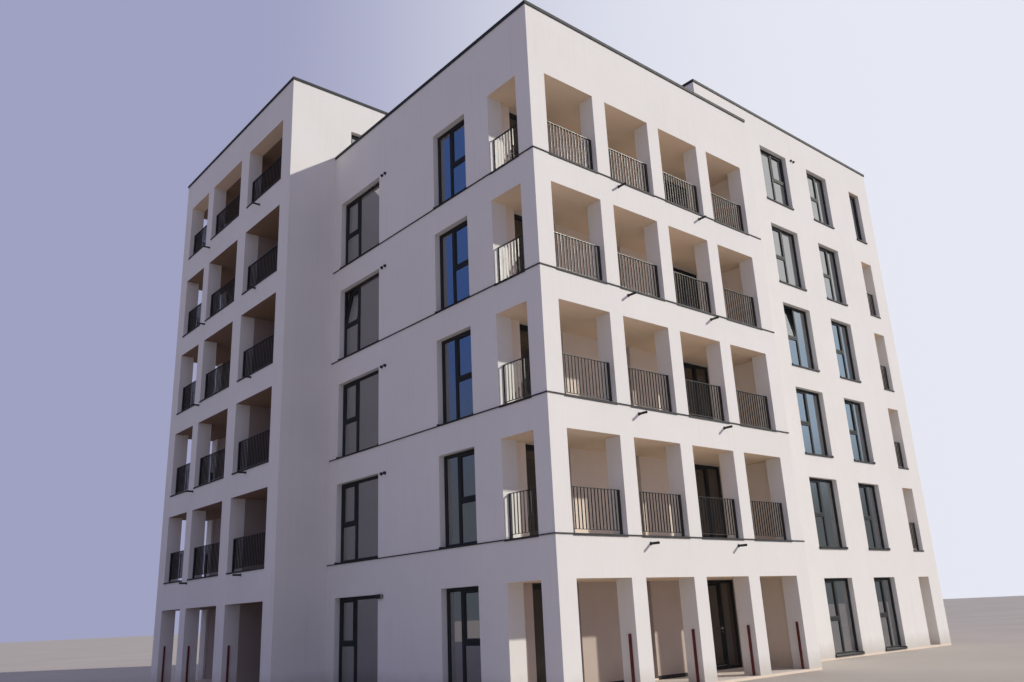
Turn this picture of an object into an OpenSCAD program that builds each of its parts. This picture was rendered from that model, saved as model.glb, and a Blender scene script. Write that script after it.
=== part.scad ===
// A six-storey apartment block in white render: a five-storey corner block with a roof
// terrace stands in the angle of a taller main block, and open loggias line three faces.
// Lengths are in millimetres. South is -Y, west is -X, and the ground is z = 0.

/* [Corner block plan] */
// Length of the corner block's west face, as far as the west wing
corner_d = 9580; // [9500:10:9700]
// How far the corner block stands in front of the main block's south face
loggia_depth = 1700; // [1690:10:1800]
// Number of loggia bays on the south face
bays = 4; // [3:1:4]
// Clear width of one loggia bay
bay_w = 1690; // [1600:10:1700]
// Distance from one loggia bay to the next
bay_pitch = 2155; // [2100:5:2160]
// Distance from the corner to the first bay
first_bay = 518; // [480:2:540]
// Width of the pier at the east end of the corner block
end_pier = 597; // [500:1:700]
// Distance from the corner to the loggia's side opening
side_from = 511; // [480:1:540]
// Clear width of the loggia's side opening
side_w = 1112; // [1000:2:1150]

/* [Main block plan] */
// Distance from the corner block's west face to the east face
main_w = 20750; // [20700:10:21500]
// How far the west wing's face stands in front of the corner block's west face
wing_out = 1610; // [1590:10:1690]
// Clear width of the narrow side opening at the south-east corner
slot_w = 772; // [700:2:800]
// Width of the pier at the south-east corner
slot_pier = 826; // [780:2:860]

/* [West wing bays] */
// Width of the wing's south pier
wing_pier_1 = 665; // [600:5:700]
// Clear width of the wing's first bay
wing_bay_1 = 2600; // [2500:10:2620]
// Width of the wing's second pier
wing_pier_2 = 660; // [600:5:680]
// Clear width of the wing's second bay
wing_bay_2 = 2520; // [2400:10:2540]
// Width of the wing's third pier
wing_pier_3 = 500; // [450:5:520]
// Clear width of the wing's third bay
wing_bay_3 = 1700; // [1600:10:1720]
// Width of the wing's north pier
wing_pier_4 = 625; // [550:5:700]
// Thickness of the partition behind the wing's second pier
partition_t = 300; // [200:10:400]

/* [Heights] */
// Thickness of the ground slab
base_t = 60; // [50:5:80]
// Height of the ground floor over the ground slab
floor_rise = 40; // [30:5:60]
// Height of the ground storey
ground_h = 3200; // [3100:10:3400]
// Height of the storeys above it
storey_h = 3000; // [2950:10:3200]
// Extra height of the terrace deck over a normal storey
terrace_rise = 200; // [150:10:300]
// Thickness of a floor with its screed and ceiling
slab_t = 500; // [400:10:520]
// Thickness of the loggia ceilings, which hang level with the heads of the openings
ceiling_t = 100; // [60:5:150]
// Thickness of the roof
roof_t = 440; // [350:10:500]
// Distance from the heads of the ground storey's openings up to the next floor
ground_head = 920; // [850:10:1000]
// Distance from the heads of the middle storeys' openings up to the next floor
head_h = 760; // [700:10:800]
// Distance from the heads of the top storey's openings up to a normal storey's end
top_head = 850; // [750:5:900]
// Height of the terrace parapet over its deck
terrace_parapet = 870; // [800:10:1100]
// Height of the main parapet over the roof
roof_parapet = 390; // [300:10:600]

/* [Walls] */
// Thickness of the outer walls and loggia piers
wall_t = 470; // [450:5:500]
// Thickness of the walls that close the loggias' ends
return_t = 300; // [250:10:400]
// Depth of the window reveals
reveal = 160; // [120:5:200]

/* [Windows] */
// Width of the narrow window type
win_a_w = 1440; // [1400:10:1500]
// Distance from the south face to the narrow windows of the west face
win_a_at = 2614; // [2500:2:3000]
// Width of the wide window type
win_b_w = 2262; // [2200:2:2300]
// Distance from the wide windows of the west face to the west wing
win_b_gap = 455; // [350:1:600]
// Width of the main block's first south window
win_c_w = 1670; // [1600:10:1700]
// Distance between the main block's two south windows
win_c_gap = 1404; // [1200:2:1800]
// Width of the main block's second south window
win_d_w = 1416; // [1380:2:1500]
// Distance from the main block's second south window to the narrow side opening
win_d_gap = 1762; // [1500:2:2000]
// Face width of a window frame
frame_w = 70; // [60:1:80]
// Depth of a window frame
frame_d = 80; // [70:1:90]
// Face width of a sash
sash_w = 50; // [40:1:60]
// How far a sash stands proud of its frame
sash_proud = 12; // [8:1:20]
// Thickness of the glazing
glass_t = 24; // [20:1:40]
// Height of the transom over the floor
transom_h = 1050; // [950:10:1150]
// Width of the opening part beside the mullion
casement_w = 840; // [780:5:880]
// Angle of the sashes that stand tilted into the room
sash_tilt = 6; // [3:1:8]
// Projection of the window sills
sill_out = 40; // [30:1:60]
// Thickness of the window sills
sill_t = 30; // [20:1:40]

/* [Loggia doors] */
// Distance from the first bay's edge to the first loggia door
door_1_in = 282; // [200:2:400]
// Distance from the second bay's edge to the second loggia door
door_2_in = 1077; // [950:1:1150]
// Width of the second loggia door
door_2_w = 1000; // [950:10:1100]
// Distance from the third loggia door to the last bay's edge
door_3_out = 33; // [0:1:60]
// Gap round an opening leaf
leaf_gap = 10; // [10:1:14]
// Thickness of an opening leaf
leaf_t = 68; // [60:1:70]
// Radius of a hinge barrel
hinge_r = 9; // [8:1:12]
// Length of one half of a hinge barrel
hinge_l = 60; // [40:5:90]
// Clearance inside a hinge
hinge_gap = 0.5; // [0.3:0.1:0.8]

/* [Railings] */
// Height of the railings
rail_h = 1010; // [1000:5:1100]
// Distance from the wall face to the middle of the railing
rail_in = 175; // [150:5:220]
// Side of a railing post
post_s = 50; // [40:1:60]
// Height of the top rail
top_rail_t = 12; // [10:1:20]
// Height of the bottom rail over the floor
low_rail_at = 100; // [80:5:110]
// Width of a railing bar along the railing
bar_t = 10; // [8:1:14]
// Depth of a railing bar across the railing
bar_d = 30; // [20:1:50]
// Largest gap between railing bars
bar_gap = 104; // [90:1:115]
// Height of the bare ground-floor posts
low_post_h = 1160; // [1100:10:1300]

/* [Trim] */
// Height of the metal copings
coping_t = 90; // [60:5:120]
// Overhang of the metal copings
coping_out = 30; // [20:1:50]
// Height of the string courses
band_t = 25; // [20:1:50]
// Projection of the string courses
band_out = 25; // [15:1:45]
// Extra drop of the string courses under a loggia bay
band_drop = 20; // [10:1:60]
// Length of the loggia rain spouts
spout_l = 240; // [200:10:260]
// Outer diameter of the loggia rain spouts
spout_d = 60; // [50:1:80]
// Wall thickness of the loggia rain spouts
spout_wall = 4; // [3:1:6]
// Depth of the rain spouts under the loggia floor
spout_drop = 180; // [150:5:220]
// Depth of the wing's rain spouts under its loggia floor
wing_spout_drop = 120; // [100:5:180]
// Distance from a bay's edge to its rain spout
spout_in = 265; // [200:5:300]
// Diameter of the wall vents
vent_d = 80; // [60:1:110]
// Projection of the wall vents
vent_out = 50; // [40:1:90]
// Wall thickness of the wall vents
vent_wall = 6; // [4:1:10]
// Distance from the heads of the west openings down to the middle of the wall vents
vent_h = 50; // [45:5:90]
// Distance from one wall vent to the next
vent_pitch = 170; // [130:5:300]
// Distance from the wide window to the first wall vent
vent_in = 180; // [120:5:200]
// Width of the wall lamp
lamp_w = 220; // [150:5:260]
// Height of the wall lamp
lamp_h = 110; // [70:5:140]
// Projection of the wall lamp
lamp_out = 70; // [40:5:90]
// Distance from the wide window to the wall lamp
lamp_gap = 15; // [5:5:60]

/* [Hidden] */
$fn = 32;

render_c = "ivory";
slab_c = "silver";
metal_c = "dimgray";
frame_c = "darkslategray";
glass_c = "lightsteelblue";
primer_c = "maroon";

// The highest storey, and the highest one with a loggia on the corner block
top = 6;
top_loggia = top - 1;

// Start of a bay along the corner block, and of the wing's openings
function bay_at(i) = first_bay + i * bay_pitch;
bay_starts = [for (i = [0:bays - 1]) bay_at(i)];
corner_w = bay_at(bays - 1) + bay_w + end_pier;
wing_1_at = corner_d + wing_pier_1;
wing_2_at = wing_1_at + wing_bay_1 + wing_pier_2;
wing_3_at = wing_2_at + wing_bay_2 + wing_pier_3;
wing_openings = [[wing_1_at, wing_bay_1], [wing_2_at, wing_bay_2], [wing_3_at, wing_bay_3]];
main_d = wing_3_at + wing_bay_3 + wing_pier_4;

floor_1 = base_t + floor_rise;
wing_x = -wing_out;
wing_back_x = wing_x + loggia_depth;
wing_inner_x = wing_x + wall_t;
main_y = loggia_depth;
east_back_x = main_w - loggia_depth;
east_inner_x = main_w - wall_t;
north_inner_y = main_d - wall_t;
slot_x = main_w - slot_pier - slot_w;
win_d_at = slot_x - win_d_gap - win_d_w;
win_c_at = win_d_at - win_c_gap - win_c_w;
east_end = main_y + corner_w;
cut = 20;
tilt_gap = 0.4;

// Height of a floor's surface, of its window heads and of its ceiling
function level(n) = n == 1 ? floor_1
    : floor_1 + ground_h + (n - 2) * storey_h + (n == top ? terrace_rise : 0);
function unit_h(n) = n == 1 ? ground_h - ground_head : storey_h - (n == top ? top_head : head_h);
function head(n) = level(n) + unit_h(n);

ceiling_5 = level(top_loggia) + storey_h - slab_t;
ceiling_6 = level(top) + storey_h - slab_t;
terrace_top = level(top) + terrace_parapet;
roof_top = ceiling_6 + roof_t;
main_top = roof_top + roof_parapet;

win_b_at = corner_d - win_b_gap - win_b_w;
door_1_at = first_bay + door_1_in;
door_2_at = bay_at(1) + door_2_in;
door_3_at = bay_at(bays - 1) - door_3_out;
wing_side_at = wing_x + side_from;

// The part's frame: the middle of the block's bounding box, on the ground
centre_x = (wing_x - spout_l + main_w + spout_l) / 2;
centre_y = (main_d + max(coping_out, sill_out) - spout_l) / 2;

// Local frames of the four faces: u runs along the face, d runs into the building
module on_south(y) translate([0, y, 0]) children();
module on_west(x) translate([x, 0, 0]) mirror([1, -1, 0]) children();
module on_east(x) translate([x, 0, 0]) mirror([1, 0, 0]) mirror([1, -1, 0]) children();
module on_north(y) translate([0, y, 0]) mirror([0, 1, 0]) children();

module block(u0, u1, d0, d1, z0, z1) translate([u0, d0, z0]) cube([u1 - u0, d1 - d0, z1 - z0]);

// A wall with openings, each given as [start, width, foot, height]
module wall(u0, u1, z0, z1, holes = []) difference() {
    block(u0, u1, 0, wall_t, z0, z1);
    for (h = holes) block(h[0], h[0] + h[1], -cut, wall_t + cut, h[2], h[2] + h[3]);
}

// Openings of one window column over a run of storeys
function column(at, w, from, to) = [for (n = [from:to]) [at, w, level(n), unit_h(n)]];

// Window columns, each as [start, width, first storey, last storey, casement side], and where
// one storey's upper sash stands tilted, that storey
low_side = -1;
high_side = 1;
tilted_storey = 4;
west_columns = [
    [win_a_at, win_a_w, 1, top_loggia, low_side],
    [win_b_at, win_b_w, 1, top_loggia, high_side, tilted_storey]
];
south_columns = [
    [win_c_at, win_c_w, 1, top_loggia, low_side, tilted_storey],
    [win_c_at, win_c_w, top, top, high_side],
    [win_d_at, win_d_w, 1, top, low_side]
];
// Distance from a wall's end to its first window on the faces away from the corner block
window_in = 900;
east_columns = [
    [east_end + window_in, win_b_w, 1, top, high_side],
    [north_inner_y - window_in - win_a_w, win_a_w, 1, top, low_side]
];
east_top_columns = [
    [main_y + bay_at(0) + window_in, win_b_w, top, top, high_side],
    [main_y + bay_at(2) + window_in, win_b_w, top, top, low_side]
];
north_count = 5;
north_pitch = (main_w - win_b_w) / north_count;
north_columns = [for (i = [0:north_count - 1])
    [wall_t + window_in + i * north_pitch, i % 2 == 0 ? win_a_w : win_b_w, 1, top,
        i % 2 == 0 ? low_side : high_side]];
corner_doors = [
    [door_1_at, win_a_w, 1, top_loggia, low_side], [door_2_at, door_2_w, 1, top_loggia, 0],
    [door_3_at, win_a_w, 1, top_loggia, low_side]
];
ground_door = [door_2_at, door_2_w, 1, 1, 0];
wing_doors = [
    [wing_1_at + (wing_bay_1 - win_a_w) / 2, win_a_w, 1, top, low_side],
    [wing_2_at + (wing_bay_2 - win_a_w) / 2, win_a_w, 1, top, high_side]
];
east_doors = [for (c = corner_doors) [main_y + c[0], c[1], c[2], c[3], c[4]]];

// The terrace's door and windows
terrace_door_at = wing_back_x + wall_t;
terrace_window_at = 4700;
terrace_side_at = 4400;
terrace_units = [
    [terrace_door_at, win_a_w, top, top, low_side], [terrace_window_at, win_b_w, top, top, high_side]
];
terrace_side_unit = [terrace_side_at, win_b_w, top, top, low_side];
slot_unit = [slot_x, slot_w, top, top, 0];

function holes_of(columns, from = 1) =
    [for (c = columns) each column(c[0], c[1], max(from, c[2]), c[3])];

// Kinds of pane: glazed into the frame, in a closed sash, or in a tilted sash
fixed_pane = 0;
sash_pane = 1;
tilted_pane = 2;

// Panes of a unit as [start, foot, width, height, kind]
function panes(w, h, side, upper = sash_pane) =
    let (m = side == 0 ? w : side == low_side ? casement_w : w - casement_w,
        p0 = side == high_side ? m + frame_w / 2 : frame_w,
        p1 = side == high_side ? w - frame_w : side == 0 ? w - frame_w : m - frame_w / 2,
        f0 = side == high_side ? frame_w : m + frame_w / 2,
        f1 = side == high_side ? m - frame_w / 2 : w - frame_w,
        t = transom_h)
    side == 0
    ? [[frame_w, frame_w, w - 2 * frame_w, h - 2 * frame_w, sash_pane]]
    : [
        [p0, frame_w, p1 - p0, t - 1.5 * frame_w, fixed_pane],
        [p0, t + frame_w / 2, p1 - p0, h - t - 1.5 * frame_w, upper],
        [f0, frame_w, f1 - f0, h - 2 * frame_w, fixed_pane]
    ];

// Panes of a door unit: a full-height leaf beside a fixed pane
function door_panes(w, h, side) =
    let (m = side == low_side ? casement_w : w - casement_w)
    side == 0 ? panes(w, h, 0)
    : side == low_side
    ? [[frame_w, frame_w, m - 1.5 * frame_w, h - 2 * frame_w, sash_pane],
        [m + frame_w / 2, frame_w, w - m - 1.5 * frame_w, h - 2 * frame_w, fixed_pane]]
    : [[m + frame_w / 2, frame_w, w - m - 1.5 * frame_w, h - 2 * frame_w, sash_pane],
        [frame_w, frame_w, m - 1.5 * frame_w, h - 2 * frame_w, fixed_pane]];

// A pane's place in its unit; a tilted one leans about the inner edge of its lower rail
module pane_place(p) {
    if (p[4] == tilted_pane)
        translate([p[0], frame_d, p[1] + tilt_gap]) rotate([-sash_tilt, 0, 0])
            translate([0, -frame_d, 0]) children();
    else translate([p[0], 0, p[1]]) children();
}

module tilted_sash(p) pane_place(p) difference() {
    translate([tilt_gap, 0, 0]) cube([p[2] - 2 * tilt_gap, frame_d, p[3] - 2 * tilt_gap]);
    translate([sash_w, -cut, sash_w]) cube([p[2] - 2 * sash_w, frame_d + 2 * cut, p[3] - 2 * sash_w]);
}

// A window frame upright in its reveal: the frame with a proud sash round each opening pane
module unit_frame(at, w, z, h, list) translate([at, reveal, z]) {
    difference() {
        union() {
            cube([w, frame_d, h]);
            for (p = list) if (p[4] == sash_pane)
                translate([p[0] - sash_proud, -sash_proud, p[1] - sash_proud])
                    cube([p[2] + 2 * sash_proud, frame_d, p[3] + 2 * sash_proud]);
        }
        for (p = list)
            let (s = p[4] == sash_pane ? sash_w : 0)
            translate([p[0] + s, -sash_proud - cut, p[1] + s])
                cube([p[2] - 2 * s, frame_d + sash_proud + 2 * cut, p[3] - 2 * s]);
    }
    for (p = list) if (p[4] == tilted_pane) tilted_sash(p);
}

module unit_glass(at, z, list) translate([at, reveal, z]) for (p = list)
    let (s = p[4] == fixed_pane ? 0 : sash_w)
    pane_place(p) translate([s, (frame_d - glass_t) / 2, s])
        cube([p[2] - 2 * s, glass_t, p[3] - 2 * s]);

function unit_panes(c, n) = panes(c[1], unit_h(n), c[4], c[5] == n ? tilted_pane : sash_pane);

module frames(columns) for (c = columns) for (n = [c[2]:c[3]])
    unit_frame(c[0], c[1], level(n), unit_h(n), unit_panes(c, n));

module glazing(columns) for (c = columns) for (n = [c[2]:c[3]])
    unit_glass(c[0], level(n), unit_panes(c, n));

module door_frames(columns, from = 1) for (c = columns) for (n = [max(from, c[2]):c[3]])
    unit_frame(c[0], c[1], level(n), unit_h(n), door_panes(c[1], unit_h(n), c[4]));

module door_glazing(columns, from = 1) for (c = columns) for (n = [max(from, c[2]):c[3]])
    unit_glass(c[0], level(n), door_panes(c[1], unit_h(n), c[4]));

// A sloping sill plate in front of a frame; a lip hangs over the wall face where no band runs
module sill(at, w, z, lip) translate([at, 0, z]) rotate([90, 0, 90]) linear_extrude(w)
    polygon([[reveal, 0], [0, 0], [0, -lip], [-sill_out, -lip], [-sill_out, sill_t / 3],
        [reveal, sill_t]]);

module sills(columns, banded = false) for (c = columns) for (n = [c[2]:c[3]])
    sill(c[0], c[1], level(n), banded && n > 1 ? 0 : sill_t);

// A railing between two piers: end posts, top and bottom rails, and upright flat bars
module railing(at, w, z) translate([at, rail_in, z]) {
    clear = w - 2 * post_s;
    count = ceil((clear - bar_gap) / (bar_gap + bar_t));
    step = (clear + bar_t) / (count + 1);
    union() {
        for (u = [0, w - post_s]) translate([u, -post_s / 2, 0]) cube([post_s, post_s, rail_h]);
        translate([0, -post_s / 2, rail_h - top_rail_t]) cube([w, post_s, top_rail_t]);
        translate([0, -bar_d / 2, low_rail_at]) cube([w, bar_d, top_rail_t]);
        for (i = [1:count]) translate([post_s + i * step - bar_t, -bar_d / 2, low_rail_at])
            cube([bar_t, bar_d, rail_h - low_rail_at]);
    }
}

// Plan outlines
module footprint() polygon([
    [0, 0], [corner_w, 0], [corner_w, main_y], [main_w, main_y], [main_w, main_d],
    [wing_x, main_d], [wing_x, corner_d], [0, corner_d]
]);

module interior() polygon([
    [wall_t, main_y + wall_t], [east_back_x - wall_t, main_y + wall_t],
    [east_back_x - wall_t, east_end], [east_inner_x, east_end], [east_inner_x, north_inner_y],
    [wing_back_x + wall_t, north_inner_y], [wing_back_x + wall_t, corner_d], [wall_t, corner_d]
]);

module top_floor_plan() polygon([
    [wall_t, wall_t], [corner_w - return_t, wall_t], [corner_w - return_t, main_y],
    [corner_w, main_y], [corner_w, main_y + wall_t],
    [east_inner_x, main_y + wall_t], [east_inner_x, north_inner_y],
    [wing_back_x + wall_t, north_inner_y], [wing_back_x + wall_t, corner_d], [wall_t, corner_d]
]);

module roof_plan() polygon([
    [corner_w + wall_t, main_y + wall_t], [east_inner_x, main_y + wall_t],
    [east_inner_x, north_inner_y], [wing_inner_x, north_inner_y],
    [wing_inner_x, corner_d + wall_t], [corner_w + wall_t, corner_d + wall_t]
]);

module slab(z0, z1) color(slab_c) translate([0, 0, z0]) linear_extrude(z1 - z0) children();

module ground_slab() slab(0, base_t) footprint();

// The ground floor runs out under the doors of the corner block's loggia
module ground_floor() slab(base_t, floor_1) union() {
    interior();
    translate([wall_t, main_y]) square([corner_w - wall_t, wall_t]);
}

module floor_slabs() for (n = [2:top_loggia]) slab(level(n) - slab_t, level(n)) interior();

// The terrace's insulation makes the top floor thicker than the others
module top_floor_slab() slab(ceiling_5, level(top)) top_floor_plan();

module roof_slab() slab(ceiling_6, roof_top) roof_plan();

module corner_loggia_plan() {
    translate([wall_t, wall_t]) square([corner_w - wall_t - return_t, main_y - wall_t]);
    translate([east_back_x, main_y + wall_t])
        square([east_inner_x - east_back_x, corner_w - wall_t - return_t]);
}

module wing_loggia_plan() translate([wing_inner_x, corner_d + wall_t])
    square([wing_back_x - wing_inner_x, north_inner_y - corner_d - wall_t]);

// The loggias' floors, and their ceilings level with the heads of the openings
module loggia_floors() {
    for (n = [2:top_loggia]) slab(level(n) - slab_t, level(n)) corner_loggia_plan();
    for (n = [2:top]) slab(level(n) - slab_t, level(n)) wing_loggia_plan();
    for (n = [1:top_loggia]) slab(head(n), head(n) + ceiling_t) corner_loggia_plan();
    for (n = [1:top]) slab(head(n), head(n) + ceiling_t) wing_loggia_plan();
}

// A pier at a corner, thickened where an opening of the other face starts beside it
module corner_pier(u, side, z1) {
    block(0, u, 0, wall_t, base_t, z1);
    block(0, wall_t, 0, side, base_t, z1);
}

module corner_piers() color(render_c) on_south(0) {
    corner_pier(first_bay, side_from, head(top_loggia));
    for (i = [1:bays])
        block(bay_at(i - 1) + bay_w, i < bays ? bay_at(i) : corner_w, 0, wall_t, base_t,
            head(top_loggia));
}

module corner_spandrels() color(render_c) {
    for (n = [2:top_loggia]) {
        for (u = bay_starts) block(u, u + bay_w, 0, wall_t, head(n - 1), level(n));
        on_west(0) block(side_from, side_from + side_w, 0, wall_t, head(n - 1), level(n));
    }
    on_west(0) block(wall_t, side_from + side_w, 0, wall_t, head(top_loggia), terrace_top);
}

module corner_west_wall() color(render_c) on_west(0)
    wall(side_from + side_w, corner_d, base_t, terrace_top, holes_of(west_columns));

// The wall behind the ground-floor loggia, split beside its three doors
module corner_ground_wall() color(render_c) on_south(main_y) {
    ends = [wall_t, door_1_at, door_1_at + win_a_w, door_2_at, door_2_at + door_2_w, door_3_at,
        door_3_at + win_a_w, corner_w];
    for (i = [0:2:len(ends) - 2]) block(ends[i], ends[i + 1], 0, wall_t, floor_1, head(1));
}

module loggia_back_walls() color(render_c) {
    on_south(main_y)
        wall(wall_t, corner_w, head(1), ceiling_5, holes_of(corner_doors, 2));
    on_west(wing_back_x)
        wall(corner_d + wall_t, north_inner_y, base_t, ceiling_6, holes_of(wing_doors));
    on_east(east_back_x)
        wall(main_y + wall_t, east_end, base_t, ceiling_5, holes_of(east_doors));
}

module loggia_end_walls() color(render_c) {
    block(corner_w - return_t, corner_w, wall_t, main_y, base_t, terrace_top);
    block(east_back_x, east_inner_x, east_end - return_t, east_end, base_t, ceiling_5);
    block(wing_inner_x, wing_back_x + wall_t, corner_d, corner_d + wall_t, base_t, main_top);
}

// The wall over the south loggias, which ends as the terrace's parapet, and over the wing's
module loggia_top_walls() color(render_c) {
    block(0, corner_w, 0, wall_t, head(top_loggia), terrace_top);
    on_west(wing_x) block(corner_d, main_d, 0, wall_t, head(top), main_top);
}

module corner_railings() color(metal_c) for (n = [2:top_loggia]) {
    for (u = bay_starts) railing(u, bay_w, level(n));
    on_west(0) railing(side_from, side_w, level(n));
}

// A coping laid along the top of a wall whose plan is given
module coping(z) color(metal_c) translate([0, 0, z]) linear_extrude(coping_t) children();

module corner_coping() coping(terrace_top) {
    inner = wall_t + coping_out;
    translate([-coping_out, -coping_out]) square([corner_w + 2 * coping_out, inner + coping_out]);
    translate([-coping_out, -coping_out]) square([inner + coping_out, corner_d + coping_out]);
    translate([corner_w - return_t - coping_out, -coping_out])
        square([return_t + 2 * coping_out, main_y + coping_out]);
}

// The drip edge of a loggia floor, under a bay
module drip_edge(at, w, z) block(at, at + w, -band_out, 0, z - band_t - band_drop, z);

module string_courses() color(metal_c) {
    for (n = [2:top_loggia]) union() {
        difference() {
            block(-band_out, corner_w, -band_out, corner_d, level(n) - band_t, level(n));
            block(0, corner_w + cut, 0, corner_d + cut, level(n) - band_t - cut, level(n) + cut);
        }
        for (u = bay_starts) drip_edge(u, bay_w, level(n));
        on_west(0) drip_edge(side_from, side_w, level(n));
    }
    for (n = [2:top_loggia]) on_east(main_w) for (u = bay_starts)
        drip_edge(main_y + u, bay_w, level(n));
    for (n = [2:top]) {
        on_west(wing_x) for (o = wing_openings) drip_edge(o[0], o[1], level(n));
        on_north(main_d) drip_edge(wing_side_at, side_w, level(n));
    }
    for (n = [2:top_loggia]) on_south(main_y) drip_edge(slot_x, slot_w, level(n));
}

module wing_piers() color(render_c) on_west(wing_x) {
    ends = [corner_d, wing_1_at, wing_1_at + wing_bay_1, wing_2_at, wing_2_at + wing_bay_2,
        wing_3_at, wing_3_at + wing_bay_3, main_d];
    for (i = [0:2:len(ends) - 2]) block(ends[i], ends[i + 1], 0, wall_t, base_t, head(top));
    block(north_inner_y, main_d, 0, side_from, base_t, head(top));
}

module wing_spandrels() color(render_c) {
    for (n = [2:top]) {
        on_west(wing_x) for (o = wing_openings)
            block(o[0], o[0] + o[1], 0, wall_t, head(n - 1), level(n));
        on_north(main_d) block(wing_side_at, wing_side_at + side_w, 0, wall_t, head(n - 1), level(n));
    }
    on_north(main_d) block(wing_inner_x, wing_side_at + side_w, 0, wall_t, head(top), main_top);
}

module wing_partitions() color(render_c) for (n = [1:top_loggia])
    block(wing_inner_x, wing_back_x, wing_1_at + wing_bay_1, wing_1_at + wing_bay_1 + partition_t,
        n == 1 ? base_t : level(n), head(n));

module wing_railings() color(metal_c) for (n = [2:top]) {
    on_west(wing_x) for (o = wing_openings) railing(o[0], o[1], level(n));
    on_north(main_d) railing(wing_side_at, side_w, level(n));
}

module terrace_north_wall() color(render_c) on_south(corner_d)
    wall(wing_back_x + wall_t, corner_w + wall_t, level(top), main_top, holes_of(terrace_units));

module terrace_east_wall() color(render_c) on_west(corner_w)
    wall(main_y + wall_t, corner_d, level(top), main_top, holes_of([terrace_side_unit]));

module main_south_wall() color(render_c) on_south(main_y)
    wall(corner_w, slot_x, base_t, main_top, holes_of(south_columns));

module east_piers() color(render_c) {
    on_south(main_y) block(slot_x + slot_w, main_w, 0, wall_t, base_t, main_top);
    on_east(main_w) {
        block(main_y + wall_t, main_y + first_bay, 0, wall_t, base_t, main_top);
        for (i = [1:bays - 1])
            block(main_y + bay_at(i - 1) + bay_w, main_y + bay_at(i), 0, wall_t, base_t,
                head(top_loggia));
    }
}

module east_spandrels() color(render_c) {
    for (n = [2:top])
        on_south(main_y) block(slot_x, slot_x + slot_w, 0, wall_t, head(n - 1), level(n));
    on_south(main_y) block(slot_x, slot_x + slot_w, 0, wall_t, head(top), main_top);
    for (n = [2:top_loggia]) on_east(main_w) for (u = bay_starts)
        block(main_y + u, main_y + u + bay_w, 0, wall_t, head(n - 1), level(n));
}

east_wall_at = main_y + bay_at(bays - 1) + bay_w;
module east_wall() color(render_c) on_east(main_w)
    wall(east_wall_at, north_inner_y, base_t, main_top, holes_of(east_columns));

module east_top_wall() color(render_c) on_east(main_w)
    wall(main_y + first_bay, east_wall_at, head(top_loggia), main_top, holes_of(east_top_columns));

module east_railings() color(metal_c) for (n = [2:top_loggia]) {
    on_east(main_w) for (u = bay_starts) railing(main_y + u, bay_w, level(n));
    on_south(main_y) railing(slot_x, slot_w, level(n));
}

module north_wall() color(render_c) on_north(main_d)
    wall(wing_side_at + side_w, main_w, base_t, main_top, holes_of(north_columns));

module main_coping() coping(main_top) difference() {
    roof_outline(coping_out);
    roof_outline(-wall_t - coping_out);
}

// The main block's outline, moved outwards by a distance
module roof_outline(o) polygon([
    [corner_w - o, main_y - o], [main_w + o, main_y - o], [main_w + o, main_d + o],
    [wing_x - o, main_d + o], [wing_x - o, corner_d - o], [corner_w - o, corner_d - o]
]);

module west_window_frames() color(frame_c) on_west(0) frames(west_columns);

module south_window_frames() color(frame_c) on_south(main_y) frames(concat(south_columns, [slot_unit]));

module east_window_frames() color(frame_c) on_east(main_w) frames(concat(east_columns, east_top_columns));

module north_window_frames() color(frame_c) on_north(main_d) frames(north_columns);

module loggia_door_frames() color(frame_c) {
    on_south(main_y) door_frames(corner_doors, 2);
    on_south(main_y) door_frames([ground_door]);
    on_west(wing_back_x) door_frames(wing_doors);
    on_east(east_back_x) door_frames(east_doors);
}

module terrace_door_frames() color(frame_c) {
    on_south(corner_d) frames(terrace_units);
    on_west(corner_w) frames([terrace_side_unit]);
}

// The two ground-floor units whose leaf opens: a frame with one fixed pane
leaf_open_w = casement_w - 1.5 * frame_w;
leaf_w = leaf_open_w - 2 * leaf_gap;
leaf_h = unit_h(1) - 2 * frame_w - 2 * leaf_gap;
leaf_x = frame_w + leaf_gap;
hinge_off = hinge_r + hinge_gap;
hinge_ats = [unit_h(1) / 5, unit_h(1) * 4 / 5];

// One half of a hinge: a barrel and a flap that lies on the leaf or on the frame
module hinge_half(z, side) translate([leaf_x, frame_d + hinge_off, z]) {
    cylinder(r = hinge_r, h = hinge_l);
    flap = 3 * hinge_r;
    translate([side > 0 ? 0 : -flap - hinge_gap, -hinge_off, 0]) cube([flap, hinge_off / 2, hinge_l]);
}

module ground_door_frame(at) translate([at, reveal, floor_1]) {
    difference() {
        cube([win_a_w, frame_d, unit_h(1)]);
        translate([frame_w, -cut, frame_w])
            cube([leaf_open_w, frame_d + 2 * cut, unit_h(1) - 2 * frame_w]);
        translate([casement_w + frame_w / 2, -cut, frame_w])
            cube([win_a_w - casement_w - 1.5 * frame_w, frame_d + 2 * cut,
                unit_h(1) - 2 * frame_w]);
    }
    for (z = hinge_ats) hinge_half(z, -1);
}

module ground_door_frames() color(frame_c) on_south(main_y)
    for (at = [door_1_at, door_3_at]) ground_door_frame(at);

module door_leaf(at) color(frame_c) on_south(main_y) translate([at, reveal, floor_1]) {
    difference() {
        translate([leaf_x, frame_d - leaf_t, leaf_x]) cube([leaf_w, leaf_t, leaf_h]);
        translate([leaf_x + sash_w, -cut, leaf_x + sash_w])
            cube([leaf_w - 2 * sash_w, frame_d + 2 * cut, leaf_h - 2 * sash_w]);
    }
    for (z = hinge_ats) hinge_half(z + hinge_l + hinge_gap, 1);
}

module door_glass(at) color(glass_c) on_south(main_y) translate([at, reveal, floor_1]) {
    e = leaf_x + sash_w;
    translate([e, frame_d - (leaf_t + glass_t) / 2, e])
        cube([leaf_w - 2 * sash_w, glass_t, leaf_h - 2 * sash_w]);
}

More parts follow.
